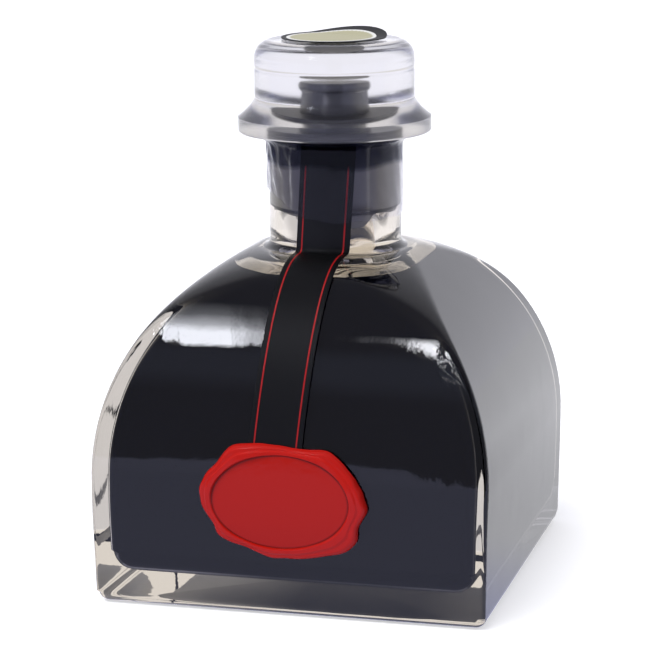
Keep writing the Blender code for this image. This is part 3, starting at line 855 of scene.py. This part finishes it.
def plug_rings(turns):
    """Rings of the plug. Its foot hangs down in one flap and small ripples, and below the step in the
    bore it is held to the narrow stretch."""
    foot = arc((PLUG_RADIUS - PLUG_ROUND, PLUG_FOOT + PLUG_ROUND), PLUG_ROUND, 270, 360, 10)
    low_shank = np.linspace(PLUG_FOOT + PLUG_ROUND, STEP_HEIGHT + 2 * STEP_LENGTH, 14)[1:]
    shank = [(PLUG_RADIUS, z) for z in np.append(low_shank, np.linspace(low_shank[-1], MOUTH_HEIGHT, 16)[1:])]
    shoulder = [(PLUG_IN_HEAD, HEAD_FOOT), (PLUG_IN_HEAD, PLUG_SHOULDER)]
    shoulder += [(PEG_RADIUS + (PLUG_IN_HEAD - PEG_RADIUS) * s, PLUG_SHOULDER) for s in (0.9, 0.5, 0.1)]
    bottom = [(PLUG_RADIUS * s, PLUG_FOOT) for s in (0.2, 0.5)]
    top = [(PEG_RADIUS * s, PEG_TOP) for s in (0.9, 0.5, 0.2)]
    rings = turned_rings(bottom + foot + shank + shoulder + peg_bead().tolist() + top, turns)
    flap = np.exp(-(turned_from(turns, PLUG_LOBE_TURN) / PLUG_LOBE_WIDTH) ** 4)
    low = np.clip((PLUG_FOOT + PLUG_SOFT - rings[..., 2]) / PLUG_SOFT, 0, 1)
    out = np.hypot(rings[..., 0], rings[..., 1])
    rings[..., 2] -= low * (out / PLUG_RADIUS) ** 2 * (PLUG_LOBE * flap + PLUG_RIPPLE * np.sin(5 * turns))
    below_step = np.clip((STEP_HEIGHT + STEP_LENGTH - rings[..., 2]) / STEP_LENGTH, 0, 1)
    limit = PLUG_RADIUS + (PLUG_LOW_RADIUS - PLUG_RADIUS) * below_step
    rings[..., :2] *= np.minimum(1, limit / np.maximum(out, 1e-9))[..., None]
    return rings


class BOTTLE_OT_stopper(bpy.types.Operator):
    """Turn the clear stopper head and the black plug that it carries"""
    bl_idname = "bottle.stopper"
    bl_label = "Stopper"

    def execute(self, context):
        colours = context.scene.bottle_colours
        turns = even_turns(STOPPER_STEPS)
        plastic, rubber = clear_plastic(colours.plastic), black_rubber(colours.rubber)
        head_rings = turned_rings(head_profile(), turns)
        head = add_piece("stopper_head_clear", *skin(head_rings), [plastic], sharp=50)
        stand_for(head, "stopper_head")
        plug = add_piece("stopper_plug_black", *skin(plug_rings(turns)), [rubber], sharp=50)
        stand_for(plug, "stopper_plug")
        return {"FINISHED"}


class BOTTLE_OT_label(bpy.types.Operator):
    """Lay the round label on the head, with its far edge come loose"""
    bl_idname = "bottle.label"
    bl_label = "Round label"

    def execute(self, context):
        colours = context.scene.bottle_colours
        turns = even_turns(LABEL_STEPS)
        radius = LABEL_RADIUS * np.linspace(0.03, 1, 60)[:, None]
        x, y = radius * np.cos(turns), radius * np.sin(turns)
        towards = (math.cos(LABEL_LIFT_TURN), math.sin(LABEL_LIFT_TURN))
        ahead = (x * towards[0] + y * towards[1]) / LABEL_RADIUS
        rise = LABEL_LIFT * np.clip((ahead - LABEL_FOLD) / (1 - LABEL_FOLD), 0, 1) ** 1.5
        under = np.stack([x, y, HEAD_TOP + LABEL_GAP + rise], -1)
        over = under + np.array((0, 0, LABEL_THICKNESS))
        paper = label_face(colours.paper, colours.label_ring, colours.label_field)
        made = add_piece("label_round", *skin(np.concatenate([under, over[::-1]])), [paper], sharp=50)
        share = np.hypot(x + FIELD_SHIFT * towards[0], y + FIELD_SHIFT * towards[1]) / LABEL_RADIUS
        share = np.concatenate([share, share[::-1]])
        tooth = np.abs((turns * TEETH / (2 * math.pi)) % 1 - 0.5) * TOOTH_DEPTH
        teeth = np.clip((FIELD_SHARE + tooth - share) / TOOTH_BLUR, 0, 1)
        give(made, "radius", np.append(share.ravel(), (0, 0)))
        give(made, "teeth", np.append(teeth.ravel(), (1, 1)))
        stand_for(made, "top_label")
        return {"FINISHED"}


class BOTTLE_OT_strip(bpy.types.Operator):
    """Bend the ribbon strip down the neck, over the shoulder and under the seal"""
    bl_idname = "bottle.strip"
    bl_label = "Ribbon strip"

    def execute(self, context):
        sizes, colours = context.scene.bottle_sizes, context.scene.bottle_colours
        under, across, along = strip_face(STRIP_GAP, *STRIP_GRID)
        over = strip_face(STRIP_GAP + STRIP_THICKNESS, *STRIP_GRID)[0]
        paper = ribbon_paper(colours.paper, colours.line, sizes.line_place, sizes.line_width)
        made = add_piece("strip_ribbon", *slab(under, over), [paper], sharp=50)
        drawn = np.clip((along - LINES_START) / LINES_FADE, 0, 1)
        for name, values in (("across", across), ("drawn", drawn)):
            give(made, name, np.concatenate([values, values]))
        stand_for(made, "ribbon_strip")
        return {"FINISHED"}


class BOTTLE_OT_seal(bpy.types.Operator):
    """Stamp the wax seal with its raised, uneven rim over the strip's foot"""
    bl_idname = "bottle.seal"
    bl_label = "Wax seal"

    def execute(self, context):
        colours = context.scene.bottle_colours
        turns = even_turns(FINE_STEPS)
        lobes = 1 + sum(size * np.cos(count * turns + phase) for count, size, phase in SEAL_LOBES)
        ray = np.stack([np.cos(turns), np.sin(turns)], -1)
        outline = np.array(SEAL_CENTRE) + lobes[:, None] * ray * np.array(SEAL_HALF_SIZE)
        dish = ray * np.array(SEAL_DISH_HALF)
        dish_edge = np.array(SEAL_DISH_CENTRE) + dish
        inside = np.array(SEAL_DISH_CENTRE) + np.linspace(0.02, 1, 40)[:-1, None, None] * dish
        share = np.linspace(0, 1, 90)[:, None]
        outside = dish_edge + share[..., None] * (outline - dish_edge)
        grid = np.concatenate([inside, outside])
        x, z = grid[..., 0], grid[..., 1]
        climb = smooth(np.clip(share / SEAL_STEP, 0, 1))
        waves = sum(size * np.sin(count * turns + phase) for count, size, phase in SEAL_CREST_WAVES)
        fold = smooth(np.clip((share - SEAL_FOLD[0]) / SEAL_FOLD[1], 0, 1))
        crest = SEAL_RIM * (SEAL_CREST + waves) - SEAL_FOLD_DROP * fold
        fall = np.clip((share - SEAL_FALL) / (1 - SEAL_FALL), 0, 1)
        crest = crest * (SEAL_EDGE + (1 - SEAL_EDGE) * np.sqrt(1 - fall ** SEAL_FALL_POWER))
        flat = np.ones(inside.shape[:2])
        thickness = np.concatenate([SEAL_DISH * flat, SEAL_DISH + (crest - SEAL_DISH) * climb])
        back = -glass_front(x, z) - SEAL_GAP
        on_strip = np.clip((z - STRIP_FOOT + STRIP_TUCK) / MM, 0, 1) * (STRIP_THICKNESS + STRIP_GAP)
        under = np.stack([x, back - on_strip, z], -1)
        over = np.stack([x, back - np.maximum(thickness, on_strip + SEAL_LEAST), z], -1)
        points, faces = skin(np.concatenate([under, over[::-1]]))
        made = add_piece("seal_wax", points, faces, [sealing_wax(colours.wax, colours.wax_recess_shade)])
        # where the painted dark line of shade lies round the dish's edge
        line = np.exp(-((share - SEAL_CREASE_SHADE[0]) / SEAL_CREASE_SHADE[1]) ** 2)
        # "depth" gives the recess its painted shade
        for name, in_dish, on_rim in (("depth", flat, 1 - climb), ("crease", 0 * flat, line)):
            values = np.concatenate([in_dish, on_rim + 0 * crest])
            both_sides = np.concatenate([values, values[::-1]]).ravel()
            give(made, name, np.append(both_sides, (values[0, 0], values[0, 0])))
        stand_for(made, "wax_seal")
        return {"FINISHED"}


class BOTTLE_OT_film(bpy.types.Operator):
    """Shrink the clear film round the neck, wrinkled on its left and flared under the head"""
    bl_idname = "bottle.film"
    bl_label = "Shrink film"

    def execute(self, context):
        colours = context.scene.bottle_colours
        turns = even_turns(FINE_STEPS)
        apart = np.abs(turned_from(turns, math.atan2(-NECK_RADIUS, STRIP_OFFSET_AT_TOP))) * NECK_RADIUS
        over_strip = smooth(np.clip((STRIP_WIDTH / 2 + FILM_BRIDGE[0] - apart) / FILM_BRIDGE[1], 0, 1))
        left = np.clip(-np.cos(turns - CAMERA_TURN) * 1.2 - 0.1, 0, 1)
        foot = FILM_FOOT + FILM_SLANT * left ** 2 + FILM_FOOT_RIPPLE * np.sin(11 * turns)
        height = foot + (FILM_TOP - foot) * np.linspace(0, 1, 90)[:, None]
        up = np.clip((height - FILM_TOP + FILM_FLARE_HEIGHT) / FILM_FLARE_HEIGHT, 0, 1)
        first, second = (np.sin(count * turns + slant * height + phase) for count, slant, phase in FILM_WAVES)
        fold = first * second * (0.25 + left) * FILM_WRINKLE
        radius = NECK_RADIUS + FILM_GAP + over_strip * (STRIP_THICKNESS + STRIP_GAP)
        radius = radius + FILM_FLARE * up ** FILM_FLARE_POWER + np.maximum(fold, -FILM_INWARD)
        inner = round_points(radius, turns, height)
        outer = round_points(radius + FILM_THICKNESS, turns, height)
        points, faces = skin(np.concatenate([outer, inner[::-1]]), loop=True)
        film = shrink_film(colours.film, colours.film_painted_shade)
        made = add_piece("film_neck", points, faces, [film], sharp=60)
        # Where the film is gathered it gets painted shade and a painted dark reflection.
        gathered = np.clip((height - GATHERED_SHADE_FOOT + GATHERED_SHADE_BLUR[0] * np.sin(5 * turns)) / GATHERED_SHADE_BLUR[1], 0, 1)
        give(made, "gathered", np.concatenate([gathered, gathered[::-1]]))
        stand_for(made, "neck_film")
        return {"FINISHED"}


# The stage

def camera_place():
    """The camera's place, which is the aim point plus the distance along its turn and rise, and that
    direction."""
    back = Vector((math.sin(CAMERA_TURN) * math.cos(CAMERA_RISE),
                   -math.cos(CAMERA_TURN) * math.cos(CAMERA_RISE), math.sin(CAMERA_RISE)))
    return Vector(CAMERA_AIM) + back * CAMERA_DISTANCE, back


def hide_from(made, *rays):
    """Makes an object unseen by some kinds of ray: camera, diffuse, glossy, transmission or shadow."""
    for ray in rays:
        setattr(made, "visible_" + ray, False)


def mirrored_card(name, x_range, z_range, lean=0.0):
    """A light card laid where the camera sees it mirrored in a patch of the front face. Each point of the
    patch, at a sideways place and a height, sends the camera's ray on by the law of reflection for a
    given distance. The patch leans sideways by a share of the height. Returns the card's node tree and
    its two shares across."""
    share_x, share_z = np.meshgrid(np.linspace(0, 1, CARD_STEPS), np.linspace(0, 1, CARD_STEPS))
    z = z_range[0] + share_z * (z_range[1] - z_range[0])
    x = x_range[0] + share_x * (x_range[1] - x_range[0]) + lean * (z - z_range[0])
    width, height = face_curve(FRONT_FACE)
    slope = np.interp(z, height, np.gradient(width) / np.gradient(height))
    normal = np.stack([0 * x, -np.ones_like(x), -slope], -1)
    normal /= np.linalg.norm(normal, axis=-1, keepdims=True)
    spot = np.stack([x, -np.interp(z, height, width), z], -1)
    ray = spot - np.array(camera_place()[0])
    ray /= np.linalg.norm(ray, axis=-1, keepdims=True)
    out = ray - 2 * (ray * normal).sum(-1, keepdims=True) * normal
    grid = spot + CARD_DISTANCE * out
    mesh = bpy.data.meshes.new(name)
    mesh.from_pydata(grid.reshape(-1, 3).tolist(), [], grid_faces(*x.shape)[1].tolist())
    card = add_to_scene(name, mesh)
    give(card, "share_x", share_x)
    give(card, "share_z", share_z)
    surface = bpy.data.materials.new(name)
    surface.use_nodes = True
    tree = surface.node_tree
    tree.nodes.clear()
    mesh.materials.append(surface)
    hide_from(card, "camera", "diffuse", "shadow")
    across, up = (node(tree, "ShaderNodeAttribute", {"attribute_name": "share_" + axis}) for axis in "xz")
    return tree, (across, "Fac"), (up, "Fac")


def glow(tree, strength, tint, *shares):
    """Lets a card shine by a strength times shares that vary over it, and be clear elsewhere."""
    for share in shares:
        product = node(tree, "ShaderNodeMath", {"operation": "MULTIPLY"}, {0: strength, 1: share})
        strength = product, "Value"
    lamp = node(tree, "ShaderNodeEmission", None, {"Color": rgba(tint), "Strength": strength})
    clear = node(tree, "ShaderNodeBsdfTransparent")
    both = node(tree, "ShaderNodeAddShader", None, {0: (lamp, "Emission"), 1: (clear, "BSDF")})
    node(tree, "ShaderNodeOutputMaterial", None, {"Surface": (both, "Shader")})


def softbox(name, x_range, z_range, soft, tint, foot, sideways, upwards):
    """A wide light: its foot rises and falls over its width and is soft over a share of its height.
    Sideways and upwards are its strength over its width and height."""
    tree, across, up = mirrored_card(name, x_range, z_range)
    edge = node(tree, "ShaderNodeValToRGB", None, {"Fac": across}, foot)
    over = node(tree, "ShaderNodeMath", {"operation": "SUBTRACT"}, {0: up, 1: (edge, "Color")})
    above = node(tree, "ShaderNodeMapRange", None, {
        "Value": (over, "Value"), "From Min": 0.0, "From Max": soft})
    wide = node(tree, "ShaderNodeValToRGB", None, {"Fac": across}, sideways)
    high = node(tree, "ShaderNodeValToRGB", None, {"Fac": up}, upwards)
    glow(tree, SOFTBOX_STRENGTH, tint, (above, "Result"), (wide, "Color"), (high, "Color"))


def edge_light():
    """The narrow light beside the front right arris, which goes on from the right light's end."""
    tree, across, up = mirrored_card("edge_light", (EDGE_X, EDGE_X + EDGE_WIDTH), EDGE_Z, EDGE_LEAN)
    wide = node(tree, "ShaderNodeValToRGB", None, {"Fac": across}, EDGE_SIDEWAYS)
    high = node(tree, "ShaderNodeValToRGB", None, {"Fac": up}, EDGE_UPWARDS)
    glow(tree, EDGE_STRENGTH, EDGE_TINT, (wide, "Color"), (high, "Color"))


def black_flag():
    """A black upright card on the camera's side, seen in reflections alone, which keeps the front face
    dark."""
    distance, half_width, top = FLAG
    side = Vector((math.cos(CAMERA_TURN), math.sin(CAMERA_TURN), 0)) * half_width
    foot = Vector((math.sin(CAMERA_TURN), -math.cos(CAMERA_TURN), 0)) * distance
    up = Vector((0, 0, top))
    mesh = bpy.data.meshes.new("black_flag")
    mesh.from_pydata([tuple(c) for c in (foot - side, foot + side, foot + side + up, foot - side + up)], [],
                     [(0, 1, 2, 3)])
    mesh.materials.append(new_material("black_card", {
        "Base Color": (0.01, 0.01, 0.012, 1), "Roughness": 1.0, "Specular IOR Level": 0.0})[0])
    card = add_to_scene("black_flag", mesh)
    hide_from(card, "camera", "diffuse", "shadow", "transmission")


def pale_floor(colour):
    """The floor: matt and pale to the camera. To other rays it shines, dimmer and bluer in front of the
    bottle than behind it, and it is shaded near the bottle where the glass looks through at it."""
    mesh = bpy.data.meshes.new("floor")
    corners = [(-1, -1), (1, -1), (1, 1), (-1, 1)]
    mesh.from_pydata([(FLOOR_HALF * x, FLOOR_HALF * y, -FLOOR_GAP) for x, y in corners], [], [(0, 1, 2, 3)])
    floor = add_to_scene("floor", mesh)
    surface, tree, shader = new_material("matt_pale_floor", {
        "Base Color": rgba(colour), "Roughness": 0.9, "Emission Color": WHITE, "Emission Strength": 0.5})
    paths = node(tree, "ShaderNodeLightPath")
    ahead = axes(tree, "Object")[1]
    behind = node(tree, "ShaderNodeMapRange", {"interpolation_type": "SMOOTHSTEP"}, {
        "Value": ahead, "From Min": FLOOR_TURNS_WHITE[0], "From Max": FLOOR_TURNS_WHITE[1]})
    tone = node(tree, "ShaderNodeMix", {"data_type": "RGBA"}, {
        "Factor": (behind, "Result"), "A": LOW_BAND, "B": FLOOR_BEHIND})
    ends = ("From Min", "From Max", "To Min", "To Max")
    mirrored = node(tree, "ShaderNodeMapRange", {"interpolation_type": "SMOOTHSTEP"}, {
        "Value": ahead, **dict(zip(ends, FLOOR_MIRRORED))})
    seen_through = node(tree, "ShaderNodeMapRange", None, {
        "Value": ahead, **dict(zip(ends, FLOOR_THROUGH_GLASS))})
    gain = node(tree, "ShaderNodeMix", None, {
        "Factor": (paths, "Is Transmission Ray"), "A": (mirrored, "Result"), "B": (seen_through, "Result")})
    glowing = node(tree, "ShaderNodeEmission", None, {
        "Color": (tone, "Result"), "Strength": (gain, "Result")})
    show_mix(tree, (paths, "Is Camera Ray"), (glowing, "Emission"), (shader, "BSDF"))
    mesh.materials.append(surface)


def studio_world():
    """Light from all round. In front it is dim, with a haze band above a bright floor band whose edge
    bends sideways. Behind it is bright, and plainer where the glass looks through at it. The camera
    itself sees white."""
    world = bpy.data.worlds.new("studio")
    world.use_nodes = True
    tree = world.node_tree
    tree.nodes.clear()
    right, ahead, up = axes(tree, "Generated")
    paths = node(tree, "ShaderNodeLightPath")
    along = node(tree, "ShaderNodeMapRange", None, {
        "Value": right, "From Min": HORIZON_PLACES[0], "From Max": HORIZON_PLACES[1]})
    edge = node(tree, "ShaderNodeValToRGB", None, {"Fac": (along, "Result")}, HORIZON_DROP)
    over = node(tree, "ShaderNodeMath", {"operation": "MULTIPLY_ADD"}, {
        0: (edge, "Color"), 1: -HORIZON_DEPTH, 2: up})
    low = node(tree, "ShaderNodeMapRange", {"interpolation_type": "SMOOTHSTEP"}, {
        "Value": (over, "Value"), "From Min": -HORIZON_BLUR, "From Max": HORIZON_BLUR,
        "To Min": 1.0, "To Max": 0.0})
    haze = node(tree, "ShaderNodeValToRGB", None, {"Fac": up}, HAZE_HEIGHTS)
    dim = node(tree, "ShaderNodeMix", {"data_type": "RGBA"}, {
        "Factor": (haze, "Color"), "A": FRONT_DIM, "B": FRONT_HAZE})
    front = node(tree, "ShaderNodeMix", {"data_type": "RGBA"}, {
        "Factor": (low, "Result"), "A": (dim, "Result"), "B": LOW_BAND})
    high = node(tree, "ShaderNodeMapRange", None, {
        "Value": up, "From Min": 0.0, "From Max": BACKDROP_HEIGHT})
    backdrop = node(tree, "ShaderNodeMix", {"data_type": "RGBA"}, {
        "Factor": (high, "Result"), "A": BACKDROP_LOW, "B": BACKDROP_HIGH})
    rear = node(tree, "ShaderNodeMix", {"data_type": "RGBA"}, {
        "Factor": (paths, "Is Transmission Ray"), "A": (backdrop, "Result"), "B": SEEN_THROUGH})
    behind = node(tree, "ShaderNodeMapRange", {"interpolation_type": "SMOOTHSTEP"}, {
        "Value": ahead, "From Min": SKY_TURNS_BRIGHT[0], "From Max": SKY_TURNS_BRIGHT[1]})
    tone = node(tree, "ShaderNodeMix", {"data_type": "RGBA"}, {
        "Factor": (behind, "Result"), "A": (front, "Result"), "B": (rear, "Result")})
    shown = node(tree, "ShaderNodeMix", {"data_type": "RGBA"}, {
        "Factor": (paths, "Is Camera Ray"), "A": (tone, "Result"), "B": WHITE})
    sky = node(tree, "ShaderNodeBackground", None, {"Color": (shown, "Result"), "Strength": 1.0})
    node(tree, "ShaderNodeOutputWorld", None, {"Surface": (sky, "Background")})
    return world


class BOTTLE_OT_stage(bpy.types.Operator):
    """Set the floor, the soft light and the camera"""
    bl_idname = "bottle.stage"
    bl_label = "Stage"

    def execute(self, context):
        scene = context.scene
        place, back = camera_place()
        turn = back.to_track_quat("Z", "Y").to_matrix().to_4x4() @ Matrix.Rotation(CAMERA_ROLL, 4, "Z")
        lens = bpy.data.cameras.new("camera")
        lens.sensor_width = 36.0
        lens.lens = CAMERA_LENS
        lens.clip_start = 0.05
        lens.clip_end = 50
        scene.camera = add_to_scene("camera", lens)
        scene.camera.matrix_world = Matrix.Translation(place) @ turn
        scene.view_settings.view_transform = "Standard"
        pale_floor(scene.bottle_colours.floor)
        scene.world = studio_world()
        lamp = bpy.data.lights.new("overhead", "AREA")
        lamp.shape = "RECTANGLE"
        lamp.size, lamp.size_y = LAMP_SIZE
        lamp.energy = LAMP_POWER
        spot = Vector(LAMP_PLACE)
        light = add_to_scene("overhead", lamp)
        light.matrix_world = Matrix.Translation(spot) @ spot.to_track_quat("Z", "Y").to_matrix().to_4x4()
        hide_from(light, "glossy", "transmission", "camera")
        black_flag()
        softbox("softbox_left", **LEFT_LIGHT)
        softbox("softbox_right", **RIGHT_LIGHT)
        edge_light()
        return {"FINISHED"}


PIECES = ("glass", "vinegar", "stopper", "label", "strip", "seal", "film", "stage")


class BOTTLE_PT_pieces(bpy.types.Panel):
    """Sidebar list of the pieces and what a user may change"""
    bl_label = "Vinegar bottle"
    bl_idname = "BOTTLE_PT_pieces"
    bl_space_type = "VIEW_3D"
    bl_region_type = "UI"
    bl_category = "Bottle"

    def draw(self, context):
        for group in (context.scene.bottle_sizes, context.scene.bottle_colours):
            for name in type(group).__annotations__:
                self.layout.prop(group, name)
        for name in PIECES:
            self.layout.operator("bottle." + name)


CLASSES = (BottleSizes, BottleColours, BOTTLE_OT_glass, BOTTLE_OT_vinegar, BOTTLE_OT_stopper, BOTTLE_OT_label,
           BOTTLE_OT_strip, BOTTLE_OT_seal, BOTTLE_OT_film, BOTTLE_OT_stage, BOTTLE_PT_pieces)


def register():
    """Makes the classes and the scene's two groups of properties known to Blender."""
    for each in CLASSES:
        bpy.utils.register_class(each)
    bpy.types.Scene.bottle_sizes = bpy.props.PointerProperty(type=BottleSizes)
    bpy.types.Scene.bottle_colours = bpy.props.PointerProperty(type=BottleColours)


def unregister():
    """Takes them away again."""
    del bpy.types.Scene.bottle_colours
    del bpy.types.Scene.bottle_sizes
    for each in reversed(CLASSES):
        bpy.utils.unregister_class(each)


def main():
    register()
    for name in PIECES:
        getattr(bpy.ops.bottle, name)()


if __name__ == "__main__":
    main()
